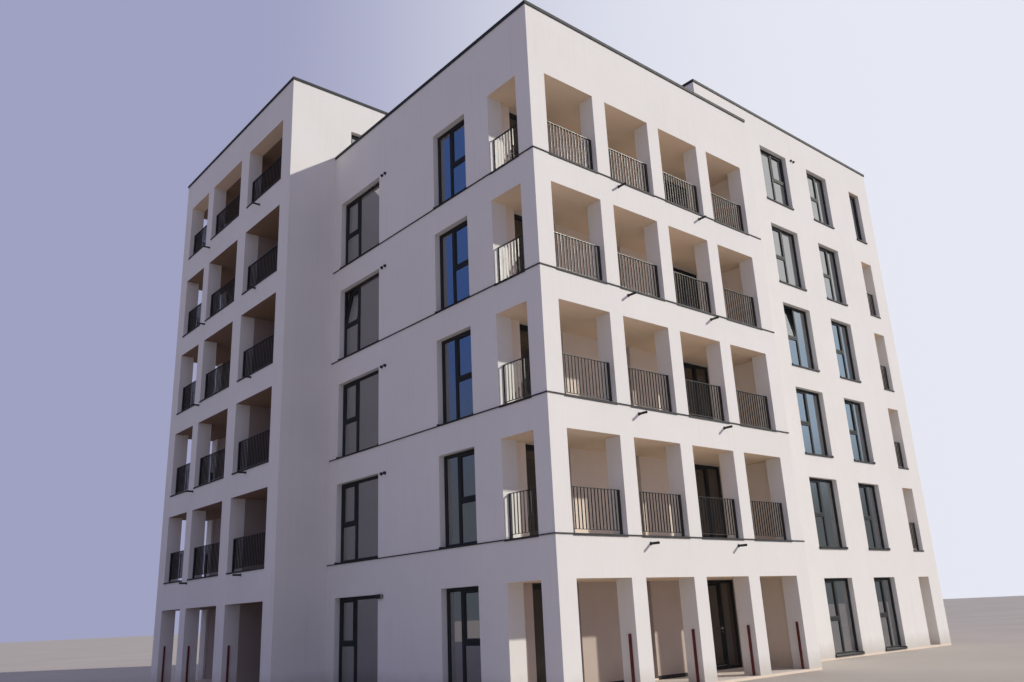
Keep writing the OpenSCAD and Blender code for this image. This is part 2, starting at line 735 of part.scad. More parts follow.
module door_leaf_1() door_leaf(door_1_at);
module door_glass_1() door_glass(door_1_at);
module door_leaf_2() door_leaf(door_3_at);
module door_glass_2() door_glass(door_3_at);

module window_glass() color(glass_c) {
    on_west(0) glazing(west_columns);
    on_south(main_y) glazing(concat(south_columns, [slot_unit]));
    on_east(main_w) glazing(concat(east_columns, east_top_columns));
    on_north(main_d) glazing(north_columns);
    on_south(corner_d) glazing(terrace_units);
    on_west(corner_w) glazing([terrace_side_unit]);
}

module loggia_door_glass() color(glass_c) {
    on_south(main_y) door_glazing(corner_doors, 2);
    on_south(main_y) door_glazing([ground_door]);
    on_south(main_y) for (at = [door_1_at, door_3_at])
        unit_glass(at, level(1), [door_panes(win_a_w, unit_h(1), low_side)[1]]);
    on_west(wing_back_x) door_glazing(wing_doors);
    on_east(east_back_x) door_glazing(east_doors);
}

module window_sills() color(metal_c) {
    on_south(main_y) sills(concat(south_columns, [slot_unit]));
    on_west(0) sills(west_columns, true);
    on_east(main_w) sills(concat(east_columns, east_top_columns));
    on_north(main_d) sills(north_columns);
}

// A rain spout that carries a loggia's water clear of the wall
module spout(at, z) translate([at, 0, z]) rotate([90, 0, 0]) difference() {
    cylinder(d = spout_d, h = spout_l);
    translate([0, 0, -cut]) cylinder(d = spout_d - 2 * spout_wall, h = spout_l + 2 * cut);
}

module rain_spouts() color(metal_c) {
    near = bay_at(1) + spout_in;
    far = bay_at(2) + bay_w - spout_in;
    for (n = [2:top_loggia]) for (u = [near, far]) {
        on_south(0) spout(u, level(n) - spout_drop);
        on_east(main_w) spout(main_y + u, level(n) - spout_drop);
    }
    for (n = [2:top]) on_west(wing_x) {
        z = level(n) - wing_spout_drop - (n == top ? terrace_rise : 0);
        spout(wing_1_at + wing_bay_1 / 2 + spout_in, z);
        spout(wing_2_at + wing_bay_2 + spout_d, z);
    }
}

// A vent's short pipe, open at its mouth
module vent(at, z) translate([at, 0, z]) rotate([90, 0, 0]) difference() {
    cylinder(d = vent_d, h = vent_out);
    translate([0, 0, vent_wall]) cylinder(d = vent_d - 2 * vent_wall, h = vent_out);
}

module wall_vents() color(metal_c) {
    for (n = [2:top_loggia]) on_west(0) for (i = [0, 1])
        vent(win_b_at - vent_in - i * vent_pitch, head(n) - vent_h);
    on_south(main_y) for (i = [0, 1])
        vent(win_c_at + win_c_w + 2 * vent_in + i * vent_pitch, head(top));
}

// Bare railing posts beside the ground-floor bays
module ground_post(at) translate([at, rail_in - post_s / 2, base_t])
    cube([post_s, post_s, low_post_h]);

module ground_posts() color(primer_c) {
    for (u = bay_starts) for (e = [0, bay_w - post_s]) ground_post(u + e);
    on_west(wing_x) for (o = wing_openings) for (e = [0, o[1] - post_s]) ground_post(o[0] + e);
    on_east(main_w) for (u = bay_starts) for (e = [0, bay_w - post_s]) ground_post(main_y + u + e);
}

module wall_lamp() color(metal_c) on_west(0)
    translate([win_b_at - lamp_gap - lamp_w, -lamp_out, head(1) - lamp_h])
        cube([lamp_w, lamp_out, lamp_h]);

module site() translate([-centre_x, -centre_y, 0]) children();

site() ground_slab();
site() ground_floor();
site() floor_slabs();
site() top_floor_slab();
site() roof_slab();
site() loggia_floors();
site() corner_piers();
site() corner_spandrels();
site() corner_west_wall();
site() corner_ground_wall();
site() loggia_back_walls();
site() loggia_end_walls();
site() loggia_top_walls();
site() string_courses();
site() corner_coping();
site() corner_railings();
site() wing_piers();
site() wing_spandrels();
site() wing_partitions();
site() wing_railings();
site() terrace_north_wall();
site() terrace_east_wall();
site() main_south_wall();
site() main_coping();
site() east_piers();
site() east_spandrels();
site() east_wall();
site() east_top_wall();
site() east_railings();
site() north_wall();
site() west_window_frames();
site() south_window_frames();
site() east_window_frames();
site() north_window_frames();
site() loggia_door_frames();
site() terrace_door_frames();
site() ground_door_frames();
site() window_glass();
site() loggia_door_glass();
site() window_sills();
site() door_leaf_1();
site() door_glass_1();
site() door_leaf_2();
site() door_glass_2();
site() rain_spouts();
site() wall_vents();
site() ground_posts();
site() wall_lamp();
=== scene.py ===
"""Looks of the white apartment block: finishes, fine trim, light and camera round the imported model.

All lengths are in metres in the part's own frame: +Z up, +X east along the sunlit loggia front,
-Y the side that front faces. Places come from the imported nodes, and only the trim's own sizes are
given here.
"""

import math

import bmesh
import bpy
from mathutils import Matrix, Vector


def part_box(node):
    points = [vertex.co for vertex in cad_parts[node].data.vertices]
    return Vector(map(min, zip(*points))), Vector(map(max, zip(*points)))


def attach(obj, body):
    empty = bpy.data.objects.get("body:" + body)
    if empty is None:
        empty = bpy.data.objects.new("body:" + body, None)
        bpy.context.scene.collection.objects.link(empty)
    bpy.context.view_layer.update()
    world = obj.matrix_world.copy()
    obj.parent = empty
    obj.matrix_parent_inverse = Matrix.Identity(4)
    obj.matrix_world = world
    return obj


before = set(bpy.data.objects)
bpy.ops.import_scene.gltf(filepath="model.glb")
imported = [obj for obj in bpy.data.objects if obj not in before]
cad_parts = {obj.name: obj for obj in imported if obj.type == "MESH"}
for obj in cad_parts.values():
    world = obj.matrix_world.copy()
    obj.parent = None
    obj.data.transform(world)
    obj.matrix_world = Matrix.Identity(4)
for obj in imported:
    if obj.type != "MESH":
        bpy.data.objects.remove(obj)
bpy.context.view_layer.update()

BUILDING = "building"
DOORS = ("door_1", "door_2")
UP = Vector((0.0, 0.0, 1.0))

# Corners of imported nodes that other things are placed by
WING_LOW, WING_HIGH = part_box("wing_spandrels")
MAIN_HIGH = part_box("main_coping")[1]

# The photograph's camera, recovered from the block's own edges
CAMERA_AT = (-21.889, -22.448, 1.722)
CAMERA_YAW = 49.068
CAMERA_PITCH = 17.706
CAMERA_ROLL = -2.641
CAMERA_LENS = 30.12
CAMERA_SIGHT = 1000.0
SENSOR_WIDTH = 36.0

# Light: a low sun from the front right and a cool even sky
SUN_FROM = (0.6244, -0.6333, 0.457)
SUN_STRENGTH = 2.93
SUN_COLOUR = (1.0, 0.965, 0.875)
SUN_ANGLE = 1.5
SKY_LIGHT = (0.62, 0.64, 1.0)
SKY_STRENGTH = 0.455

# The sky that shows and is mirrored: each tone's colours, the side that it lies on, how squarely a
# direction has to face that side for the tone to start and be full, and its rise above the horizon
SKY_LOW = (0.68, 0.72, 0.78)
SKY_HIGH = (0.36, 0.48, 0.72)
SKY_RISE = (0.0, 0.75)
HAZE_SIDE = (0.95, 0.31)
HAZE_FAR = (0.35, 0.36, 0.54)
HAZE_NEAR = (0.82, 0.84, 0.92)
HAZE_START = (0.0, 0.3)
HAZE_SPREAD = (0.64, 1.06)
BRIGHT_SIDE = (0.82, -0.57)
BRIGHT_LOW = (0.20, 0.22, 0.23)
BRIGHT_MIDDLE = (0.62, 0.80, 1.0)
BRIGHT_HIGH = (1.0, 1.0, 1.0)
BRIGHT_SPREAD = (0.70, 0.90)
BRIGHT_RISE = (0.08, 0.20)
BRIGHT_TOP = (0.26, 0.34)
BLUE_SIDE = (-0.866, 0.5)
BLUE_LOW = (0.15, 0.17, 0.20)
BLUE_MIDDLE = (0.19, 0.22, 0.25)
BLUE_HIGH = (0.08, 0.16, 0.46)
BLUE_SPREAD = (0.60, 0.75)
BLUE_RISE = (0.05, 0.5)
BLUE_CORE = (0.87, 0.905)
BLUE_CORE_RISE = (0.10, 0.34)

# Sizes that the frame holds as shapes alone, and the trim's own
WALL_THICKNESS = 0.47
POST = 0.05
BEAD_FACE = 0.028
BEAD_WIDTH = 0.014
GASKET_WIDTH = 0.007
GLASS_THICKNESS = 0.024
TALLEST_SASH = 2.0
LOWER_PANE_HEIGHT = 0.945
SEAM_SPACING = 2.5
STRAP_WIDTH = 0.06
STRAP_SHEET = 0.0015
COPING_OVERHANG = 0.03
VENT_WALL = 0.006
HANDLE_HEIGHT = 0.95
KEY_HEIGHT = 0.86
FLOOR_RADIUS = 400.0

# How far in from the north and the east front an upright pane may stand and still face that way
NORTH_DEPTH = 1.0
EAST_DEPTH = 3.0

# How far the wing's loggias reach past its spandrels, inwards and southwards
WING_INWARDS = 0.2
WING_SOUTHWARDS = 0.4

# A normal's rise past which a face counts as level, and below which it counts as upright
LEVEL = 0.9
UPRIGHT = 0.1

# Faces of walls that are larger than this, in square metres, show where an outer front lies
FRONT_FACE = 0.3

# Points closer than this are one point, and heights closer than this are the same height
MERGE = 1e-5
SAME_HEIGHT = 0.01

# Ceiling tones that more than one material shares: partly the ceilings' cream paint, partly painted warm
# bounce light
CEILING_WITH_PAINTED_BOUNCE = (0.91, 0.72, 0.54)
CEILING_WORN_WITH_PAINTED_BOUNCE = (0.85, 0.66, 0.48)


def colour(red, green, blue):
    """A linear colour with full alpha."""
    return (red, green, blue, 1.0)


def feed(links, value, socket):
    """Links a node's output to a socket, or sets the socket to a plain value."""
    if hasattr(value, "is_output"):
        links.new(value, socket)
    else:
        socket.default_value = value


class Shader:
    """A small helper that builds one material's node tree."""

    def __init__(self, name):
        self.material = bpy.data.materials.new(name)
        self.material.use_nodes = True
        self.tree = self.material.node_tree
        self.nodes = self.tree.nodes
        self.surface = self.nodes["Principled BSDF"]
        self.place = self.nodes.new("ShaderNodeTexCoord").outputs["Object"]
        self.bumps = None

    def link(self, value, socket):
        feed(self.tree.links, value, socket)

    def node(self, kind, **settings):
        made = self.nodes.new(kind)
        for key, value in settings.items():
            setattr(made, key, value)
        return made

    def scaled(self, scale):
        """The object's coordinates, stretched by a scale for each axis."""
        made = self.node("ShaderNodeMapping")
        self.link(self.place, made.inputs["Vector"])
        made.inputs["Scale"].default_value = scale
        return made.outputs["Vector"]

    def noise(self, scale, detail=4.0, rough=0.55, at=None, distortion=0.0):
        made = self.node("ShaderNodeTexNoise")
        self.link(at or self.place, made.inputs["Vector"])
        made.inputs["Scale"].default_value = scale
        made.inputs["Detail"].default_value = detail
        made.inputs["Roughness"].default_value = rough
        made.inputs["Distortion"].default_value = distortion
        return made.outputs["Fac"]

    def cells(self, scale):
        made = self.node("ShaderNodeTexVoronoi", feature="F1")
        self.link(self.place, made.inputs["Vector"])
        made.inputs["Scale"].default_value = scale
        return made.outputs["Distance"]

    def math(self, operation, a, b=0.0):
        made = self.node("ShaderNodeMath", operation=operation)
        self.link(a, made.inputs[0])
        self.link(b, made.inputs[1])
        return made.outputs[0]

    def ramp(self, value, low, high, out_low=0.0, out_high=1.0):
        made = self.node("ShaderNodeMapRange", clamp=True)
        self.link(value, made.inputs["Value"])
        for key, number in zip(("From Min", "From Max", "To Min", "To Max"), (low, high, out_low, out_high)):
            made.inputs[key].default_value = number
        return made.outputs["Result"]

    def mix(self, share, a, b, blend="MIX"):
        made = self.node("ShaderNodeMix", data_type="RGBA", blend_type=blend)
        self.link(share, made.inputs["Factor"])
        self.link(a, made.inputs[6])
        self.link(b, made.inputs[7])
        return made.outputs[2]

    def blotched(self, cloud, first, second, low=0.3, high=0.7):
        """Two tones that run into each other along a noise."""
        return self.mix(self.ramp(cloud, low, high), colour(*first), colour(*second))

    def axis(self, name, of_normal=False):
        """One coordinate of the place on the object, or of the way that its surface faces."""
        made = self.node("ShaderNodeSeparateXYZ")
        source = self.node("ShaderNodeTexCoord").outputs["Normal"] if of_normal else self.place
        self.link(source, made.inputs[0])
        return made.outputs[name]

    def bump(self, height, distance, strength):
        """Adds a layer of relief, of a depth in metres, over the layers before it."""
        made = self.node("ShaderNodeBump")
        made.inputs["Strength"].default_value = strength
        made.inputs["Distance"].default_value = distance
        self.link(height, made.inputs["Height"])
        if self.bumps is not None:
            self.link(self.bumps, made.inputs["Normal"])
        self.bumps = made.outputs["Normal"]

    def done(self, base, roughness, metallic=0.0, specular=0.5):
        self.link(base, self.surface.inputs["Base Color"])
        self.link(roughness, self.surface.inputs["Roughness"])
        self.surface.inputs["Metallic"].default_value = metallic
        self.surface.inputs["Specular IOR Level"].default_value = specular
        if self.bumps is not None:
            self.link(self.bumps, self.surface.inputs["Normal"])
        return self.material


def render_material(name, base, shade, streaks=1.0):
    """Fine mineral render: floated grain, soft cloudy tone, faint rain streaks and a soiled foot."""
    s = Shader(name)
    cloud = s.noise(0.45, 5.0, 0.6)
    patch = s.noise(2.6, 4.0, 0.5)
    grain = s.noise(260.0, 3.0, 0.7)
    tone = s.blotched(cloud, shade, base)
    tone = s.mix(s.ramp(patch, 0.25, 0.75, 0.0, 0.35), tone, colour(*shade))
    speck = s.ramp(grain, 0.3, 0.7, 0.94, 1.03)
    tone = s.mix(1.0, tone, s.mix(speck, colour(0.0, 0.0, 0.0), colour(1.0, 1.0, 1.0)), "MULTIPLY")
    run = s.noise(1.0, 3.0, 0.6, at=s.scaled((9.0, 9.0, 0.35)))
    run_mask = s.math("MULTIPLY", s.ramp(run, 0.56, 0.78), 0.10 * streaks)
    tone = s.mix(run_mask, tone, colour(0.42, 0.38, 0.33))
    foot = s.ramp(s.math("ADD", s.axis("Z"), s.math("MULTIPLY", patch, -0.25)), 0.0, 0.42, 0.42, 0.0)
    tone = s.mix(foot, tone, colour(0.42, 0.36, 0.29))
    s.bump(s.noise(38.0, 4.0, 0.6), 0.0016, 0.5)
    s.bump(s.cells(190.0), 0.0012, 0.55)
    s.bump(grain, 0.0009, 0.7)
    return s.done(tone, s.ramp(grain, 0.2, 0.8, 0.84, 0.97), specular=0.25)


def slab_material():
    """Slabs: a ceiling below, warm partly from cream paint and partly from painted warm bounce light, pale
    screed above and a tone between the two at the edges.
    """
    s = Shader("slab_concrete")
    cloud = s.noise(1.3, 5.0, 0.6)
    grit = s.noise(140.0, 3.0, 0.7)
    pores = s.cells(60.0)
    floor = s.blotched(cloud, (0.74, 0.67, 0.58), (0.84, 0.77, 0.67))
    # The ceiling's warm tone is partly painted warm bounce light
    ceiling = s.blotched(cloud, CEILING_WORN_WITH_PAINTED_BOUNCE, CEILING_WITH_PAINTED_BOUNCE)
    tone = s.mix(s.ramp(s.axis("Z", of_normal=True), -0.3, 0.3), ceiling, floor)
    tone = s.mix(s.ramp(grit, 0.35, 0.7, 0.0, 0.12), tone, colour(0.28, 0.27, 0.25))
    s.bump(s.ramp(pores, 0.0, 0.12), 0.0008, 0.35)
    s.bump(grit, 0.0007, 0.6)
    return s.done(tone, s.ramp(grit, 0.2, 0.8, 0.78, 0.94), specular=0.3)


def metal_material(name, base, worn, rough, specular, peel=0.0002):
    """Powder-coated sheet: orange-peel bump, dust on what faces up and faint rain marks."""
    s = Shader(name)
    cloud = s.noise(1.7, 4.0, 0.6)
    fine = s.noise(420.0, 2.0, 0.5)
    drops = s.noise(1.0, 4.0, 0.6, at=s.scaled((26.0, 26.0, 2.2)))
    tone = s.blotched(cloud, base, worn)
    facing_up = s.ramp(s.axis("Z", of_normal=True), 0.35, 0.9)
    dust = s.math("MULTIPLY", facing_up, s.ramp(cloud, 0.35, 0.75, 0.15, 0.45))
    tone = s.mix(dust, tone, colour(0.33, 0.31, 0.28))
    tone = s.mix(s.ramp(drops, 0.55, 0.8, 0.0, 0.16), tone, colour(0.22, 0.21, 0.20))
    s.bump(fine, peel, 0.35)
    s.bump(s.noise(3.0, 2.0), 0.0015, 0.25)
    return s.done(tone, s.ramp(drops, 0.3, 0.8, rough - 0.05, rough + 0.10), specular=specular)


def rubber_material():
    """Black rubber glazing seals with a grey bloom."""
    s = Shader("rubber_seal")
    bloom = s.noise(9.0, 4.0, 0.6)
    tone = s.blotched(bloom, (0.012, 0.012, 0.013), (0.05, 0.05, 0.052), 0.4, 0.75)
    s.bump(s.noise(300.0, 2.0), 0.0002, 0.4)
    return s.done(tone, s.ramp(bloom, 0.3, 0.7, 0.6, 0.8), specular=0.35)


def steel_material(name, base, rough=0.34):
    """Bright metal with fine drawn lines, for bolts, handles and spacers."""
    s = Shader(name)
    drawn = s.noise(1.0, 2.0, 0.5, at=s.scaled((60.0, 60.0, 900.0)))
    cloud = s.noise(14.0, 3.0)
    shade = tuple(0.72 * part for part in base)
    tone = s.blotched(cloud, shade, base)
    s.bump(drawn, 0.00015, 0.3)
    return s.done(tone, s.ramp(drawn, 0.2, 0.8, rough - 0.06, rough + 0.12), metallic=1.0)


def primer_material():
    """Red-brown primer, matt, blotched and rusting at its runs."""
    s = Shader("red_primer")
    cloud = s.noise(7.0, 5.0, 0.65)
    rust = s.noise(34.0, 5.0, 0.7)
    tone = s.blotched(cloud, (0.105, 0.018, 0.016), (0.17, 0.035, 0.028))
    tone = s.mix(s.ramp(rust, 0.6, 0.75, 0.0, 0.7), tone, colour(0.24, 0.085, 0.035))
    s.bump(rust, 0.0006, 0.5)
    return s.done(tone, s.ramp(rust, 0.3, 0.8, 0.62, 0.86), specular=0.3)


def lens_material():
    """The lamp's milky lens."""
    s = Shader("lamp_lens")
    cloud = s.noise(60.0, 3.0)
    tone = s.blotched(cloud, (0.70, 0.72, 0.72), (0.82, 0.83, 0.82))
    s.bump(s.cells(240.0), 0.0003, 0.5)
    return s.done(tone, 0.22, specular=0.6)


def dark_void_material():
    """The dark throat of a pipe."""
    s = Shader("pipe_throat")
    soot = s.noise(80.0, 3.0)
    tone = s.blotched(soot, (0.010, 0.010, 0.011), (0.035, 0.034, 0.033))
    return s.done(tone, 0.8, specular=0.2)


def paver_material():
    """Grey concrete pavers, each a slightly different tone."""
    s = Shader("terrace_paver")
    slabs = s.node("ShaderNodeTexVoronoi", feature="F1")
    s.link(s.scaled((2.0, 2.0, 0.0)), slabs.inputs["Vector"])
    slabs.inputs["Scale"].default_value = 1.0
    slabs.inputs["Randomness"].default_value = 0.0
    grit = s.noise(180.0, 4.0, 0.7)
    tone = s.mix(slabs.outputs["Color"], colour(0.36, 0.35, 0.33), colour(0.47, 0.46, 0.43))
    tone = s.mix(s.ramp(grit, 0.4, 0.7, 0.0, 0.3), tone, colour(0.25, 0.245, 0.235))
    s.bump(grit, 0.0008, 0.6)
    return s.done(tone, s.ramp(grit, 0.2, 0.8, 0.75, 0.92), specular=0.3)


def membrane_material():
    """Light grey roofing sheet, clouded, with the faint rims of dried puddles and a fine weave."""
    s = Shader("roof_sheet")
    pond = s.noise(0.5, 5.0, 0.6, distortion=0.6)
    weave = s.noise(240.0, 2.0, 0.6)
    tone = s.blotched(pond, (0.30, 0.30, 0.30), (0.42, 0.42, 0.41), 0.4, 0.6)
    ring = s.ramp(s.math("ABSOLUTE", s.math("SUBTRACT", pond, 0.52)), 0.0, 0.012, 0.28, 0.0)
    tone = s.mix(ring, tone, colour(0.20, 0.19, 0.175))
    s.bump(weave, 0.0006, 0.5)
    return s.done(tone, s.ramp(weave, 0.2, 0.8, 0.6, 0.8), specular=0.35)


def glass_material(name, deep, pale, bend):
    """Coated double glazing: dark, partly see-through and strongly reflecting, with a faint haze.
    bend is the index of refraction."""
    s = Shader(name)
    haze = s.noise(2.2, 4.0, 0.6, at=s.scaled((1.0, 1.0, 0.45)))
    s.bump(s.noise(0.7, 2.0), 0.008, 0.10)
    material = s.done(s.blotched(haze, deep, pale), 0.02, specular=0.5)
    coat = {"IOR": bend, "Alpha": 0.9, "Coat Weight": 1.0, "Coat Roughness": 0.01, "Coat IOR": bend}
    for socket, number in coat.items():
        s.surface.inputs[socket].default_value = number
    return material


WHITE = render_material("white_render", (0.86, 0.835, 0.795), (0.815, 0.79, 0.745))
# Loggia inner walls: a slightly creamy render, with painted warm bounce light in its warmer tone
INNER = render_material("loggia_render", (0.90, 0.785, 0.67), (0.84, 0.73, 0.62), streaks=0.3)
# The ground loggia's back wall: painted shade, a darker and warmer tone than its white render
GROUND_LOGGIA_PAINTED_SHADE = render_material("ground_loggia_painted_shade", (0.60, 0.50, 0.44), (0.54, 0.45, 0.39), streaks=0.3)
# The wing loggias' inner walls: painted shade, a deep beige in place of their white render
WING_LOGGIA_PAINTED_SHADE = render_material("wing_loggia_painted_shade", (0.40, 0.33, 0.30), (0.35, 0.29, 0.26), streaks=0.3)
# Spandrel soffits in the ceiling tone: partly cream paint, partly painted warm bounce light
SOFFIT = render_material("soffit_render", CEILING_WITH_PAINTED_BOUNCE, CEILING_WORN_WITH_PAINTED_BOUNCE, streaks=0.0)
# The wing loggias' ceilings: painted shade, a dark brown in place of their paint
WING_SOFFIT_PAINTED_SHADE = render_material("wing_soffit_painted_shade", (0.33, 0.22, 0.15), (0.28, 0.18, 0.12), streaks=0.0)
SLAB = slab_material()
METAL = metal_material("anthracite_sheet", (0.022, 0.023, 0.025), (0.034, 0.035, 0.038), 0.64, 0.30)
RAILING = metal_material("railing_coat", (0.017, 0.017, 0.018), (0.025, 0.025, 0.027), 0.36, 0.42, 0.00004)
COPING = metal_material("coping_sheet", (0.022, 0.024, 0.026), (0.032, 0.034, 0.037), 0.62, 0.26)
SASH = metal_material("anthracite_profile", (0.011, 0.013, 0.015), (0.018, 0.021, 0.024), 0.58, 0.30)
RUBBER = rubber_material()
STEEL = steel_material("satin_steel", (0.60, 0.60, 0.59))
PRIMER = primer_material()
LENS = lens_material()
THROAT = dark_void_material()
PAVER = paver_material()
MEMBRANE = membrane_material()
GLASS = glass_material("pane_glass", (0.012, 0.016, 0.018), (0.026, 0.031, 0.033), 2.75)
DOOR_GLASS = glass_material("door_pane_glass", (0.008, 0.009, 0.010), (0.018, 0.020, 0.021), 1.7)

RENDER_NODES = (
    "corner_piers corner_spandrels corner_west_wall loggia_top_walls wing_piers wing_spandrels "
    "terrace_north_wall terrace_east_wall main_south_wall east_piers east_spandrels east_wall "
    "east_top_wall north_wall"
).split()
INNER_NODES = "loggia_back_walls loggia_end_walls wing_partitions".split()
SLAB_NODES = "ground_slab ground_floor floor_slabs top_floor_slab roof_slab loggia_floors".split()


def finish_for(node):
    """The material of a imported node."""
    if node in RENDER_NODES:
        return WHITE
    if node == "corner_ground_wall":
        return GROUND_LOGGIA_PAINTED_SHADE
    if node in INNER_NODES:
        return INNER
    if node in SLAB_NODES:
        return SLAB
    if node == "window_glass":
        return GLASS
    if "glass" in node:
        return DOOR_GLASS
    if "coping" in node:
        return COPING
    if "railings" in node:
        return RAILING
    if "frame" in node or "leaf" in node:
        return SASH
    if node == "ground_posts":
        return PRIMER
    return METAL


def faces_up(face):
    return face.normal.z > LEVEL


def faces_down(face):
    return face.normal.z < -LEVEL


def plane_of(polygon):
    """Which way a face looks and how far out it lies, rounded so that flush faces share one key."""
    facing = tuple(round(part) for part in polygon.normal)
    return facing, round(polygon.center.dot(polygon.normal), 3)


def dress(node, chosen, material):
    """Gives some faces of a node another material."""
    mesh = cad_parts[node].data
    mesh.materials.append(material)
    for polygon in mesh.polygons:
        if chosen(polygon):
            polygon.material_index = len(mesh.materials) - 1


for node_name, node_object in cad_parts.items():
    node_object.data.materials.clear()
    node_object.data.materials.append(finish_for(node_name))

outer_planes = {
    plane_of(polygon)
    for node in ("wing_piers", "corner_piers", "east_piers", "main_south_wall", "north_wall")
    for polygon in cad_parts[node].data.polygons
    if polygon.area > FRONT_FACE
}
dress("loggia_end_walls", lambda polygon: plane_of(polygon) in outer_planes, WHITE)
dress("roof_slab", faces_up, MEMBRANE)
for node_name in ("corner_spandrels", "loggia_top_walls", "east_spandrels", "east_top_wall"):
    dress(node_name, faces_down, SOFFIT)


def in_wing(polygon):
    """Whether a face lies inside the wing's loggias."""
    middle = polygon.center
    return middle.x < WING_HIGH.x + WING_INWARDS and middle.y > WING_LOW.y - WING_SOUTHWARDS


def under_wing(polygon):
    """Whether a face hangs over one of the wing's loggias."""
    return faces_down(polygon) and in_wing(polygon)


# Painted shade on the ceilings over the wing's loggias
dress("wing_spandrels", under_wing, WING_SOFFIT_PAINTED_SHADE)
dress("loggia_floors", under_wing, WING_SOFFIT_PAINTED_SHADE)
# Painted shade on the inner walls of the wing's loggias
for node_name in ("wing_partitions", "loggia_back_walls", "loggia_end_walls"):
    dress(node_name, in_wing, WING_LOGGIA_PAINTED_SHADE)


class Piece:
    """A joined mesh that is built up part by part and then rides on a body."""

    def __init__(self, name, *materials):
        self.name = name
        self.materials = materials
        self.mesh = bmesh.new()

    def box(self, low, high, slot=0, chamfer=0.0, turn=None):
        """A block between two corners, with its edges chamfered and turned by a matrix."""
        low, high = Vector(low), Vector(high)
        made = bmesh.ops.create_cube(self.mesh, size=1.0)["verts"]
        size = high - low
        bmesh.ops.scale(self.mesh, vec=size, verts=made)
        bmesh.ops.translate(self.mesh, vec=(low + high) / 2, verts=made)
        faces = {face for vert in made for face in vert.link_faces}
        if chamfer:
            edges = list({edge for vert in made for edge in vert.link_edges})
            cut = bmesh.ops.bevel(
                self.mesh, geom=edges, offset=chamfer, segments=1, affect="EDGES", profile=0.5
            )
            faces = {face for face in faces if face.is_valid} | set(cut["faces"])
            made = list({vert for face in faces for vert in face.verts})
        for face in faces:
            face.material_index = slot
        if turn is not None:
            bmesh.ops.transform(self.mesh, matrix=turn, verts=made)

    def loops(self, rows, slot=0):
        """Joins closed rows of points, one after the other, into bands of faces."""
        verts = [[self.mesh.verts.new(point) for point in row] for row in rows]
        count = len(rows[0])
        for a, b in zip(verts, verts[1:]):
            for i in range(count):
                j = (i + 1) % count
                face = self.mesh.faces.new((a[i], a[j], b[j], b[i]))
                face.material_index = slot
        return verts

    def turned(self, profile, place, sides=20, slot=0, caps=True):
        """A turned form: profile is a list of (radius, height) along the place's z axis."""
        rows = []
        for radius, height in profile:
            row = []
            for i in range(sides):
                angle = 2 * math.pi * i / sides
                row.append(place @ Vector((radius * math.cos(angle), radius * math.sin(angle), height)))
            rows.append(row)
        verts = self.loops(rows, slot)
        if caps:
            for row, order in ((verts[0], -1), (verts[-1], 1)):
                face = self.mesh.faces.new(row[::order])
                face.material_index = slot

    def ring(self, pane, profile, slot=0):
        """A mitred surround: profile is a list of (inset, out) from a pane's edge and outer face."""
        rows = []
        for inset, out in profile:
            u, v = pane.half_width - inset, pane.half_height - inset
            rows.append([pane.point(x * u, y * v, out) for x, y in ((-1, -1), (1, -1), (1, 1), (-1, 1))])
        self.loops(rows, slot)

    def finish(self, body):
        """Makes the piece, which then rides on a body under its material slot."""
        data = bpy.data.meshes.new(self.name)
        bmesh.ops.recalc_face_normals(self.mesh, faces=self.mesh.faces)
        self.mesh.to_mesh(data)
        self.mesh.free()
        for material in self.materials:
            data.materials.append(material)
        made = bpy.data.objects.new(self.name, data)
        bpy.context.scene.collection.objects.link(made)
        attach(made, body)


def islands(node):
    """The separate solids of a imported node, each as a list of its points."""
    mesh = bmesh.new()
    mesh.from_mesh(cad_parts[node].data)
    bmesh.ops.remove_doubles(mesh, verts=mesh.verts, dist=MERGE)
    found, seen = [], set()
    for start in mesh.verts:
        if start in seen:
            continue
        seen.add(start)
        stack, points = [start], []
        while stack:
            vert = stack.pop()
            points.append(vert.co.copy())
            for edge in vert.link_edges:
                other = edge.other_vert(vert)
                if other not in seen:
                    seen.add(other)
                    stack.append(other)
        found.append(points)
    mesh.free()
    return found


def corners(points):
    """The lowest and highest corner of some points."""
    low = Vector([min(p[i] for p in points) for i in range(3)])
    high = Vector([max(p[i] for p in points) for i in range(3)])
    return low, high


def boxes(node):
    """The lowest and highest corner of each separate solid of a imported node."""
    return [corners(points) for points in islands(node)]


def outward(low, high):
    """The direction that an upright sheet in an outer wall faces, away from the rooms behind it."""
    if high.x - low.x > high.y - low.y:
        return Vector((0, 1 if low.y > MAIN_HIGH.y - NORTH_DEPTH else -1, 0))
    return Vector((1 if low.x > MAIN_HIGH.x - EAST_DEPTH else -1, 0, 0))


class Pane:
    """One sheet of glass: its middle, its half sizes and the way that it faces, tilted or upright."""

    def __init__(self, points):
        low, high = corners(points)
        self.out = outward(low, high)
        self.across = UP.cross(self.out)
        self.up = UP
        centre = (low + high) / 2
        along = [p.dot(self.across) for p in points]
        self.half_width = (max(along) - min(along)) / 2
        depth = [p.dot(self.out) for p in points]
        thickness = max(depth) - min(depth)
        self.half_height = (high.z - low.z) / 2
        self.tilted = thickness > 1.5 * GLASS_THICKNESS
        if self.tilted:
            foot = [p for p in points if p.z < centre.z]
            head = [p for p in points if p.z > centre.z]
            slope = (sum(head, Vector()) / len(head)) - (sum(foot, Vector()) / len(foot))
            self.up = slope.normalized()
            self.half_height = slope.length / 2
            self.out = self.across.cross(self.up)
        self.face = centre + self.out * (GLASS_THICKNESS / 2)
        height = 2 * self.half_height
        self.sash = height < TALLEST_SASH and abs(height - LOWER_PANE_HEIGHT) > SAME_HEIGHT

    def point(self, across, up, out):
        return self.face + self.across * across + self.up * up + self.out * out

    def place(self, across, up, out):
        """A matrix whose x runs across, y up and z outwards, at a point of the pane."""
        turn = Matrix((self.across, self.up, self.out)).transposed().to_4x4()
        return Matrix.Translation(self.point(across, up, out)) @ turn


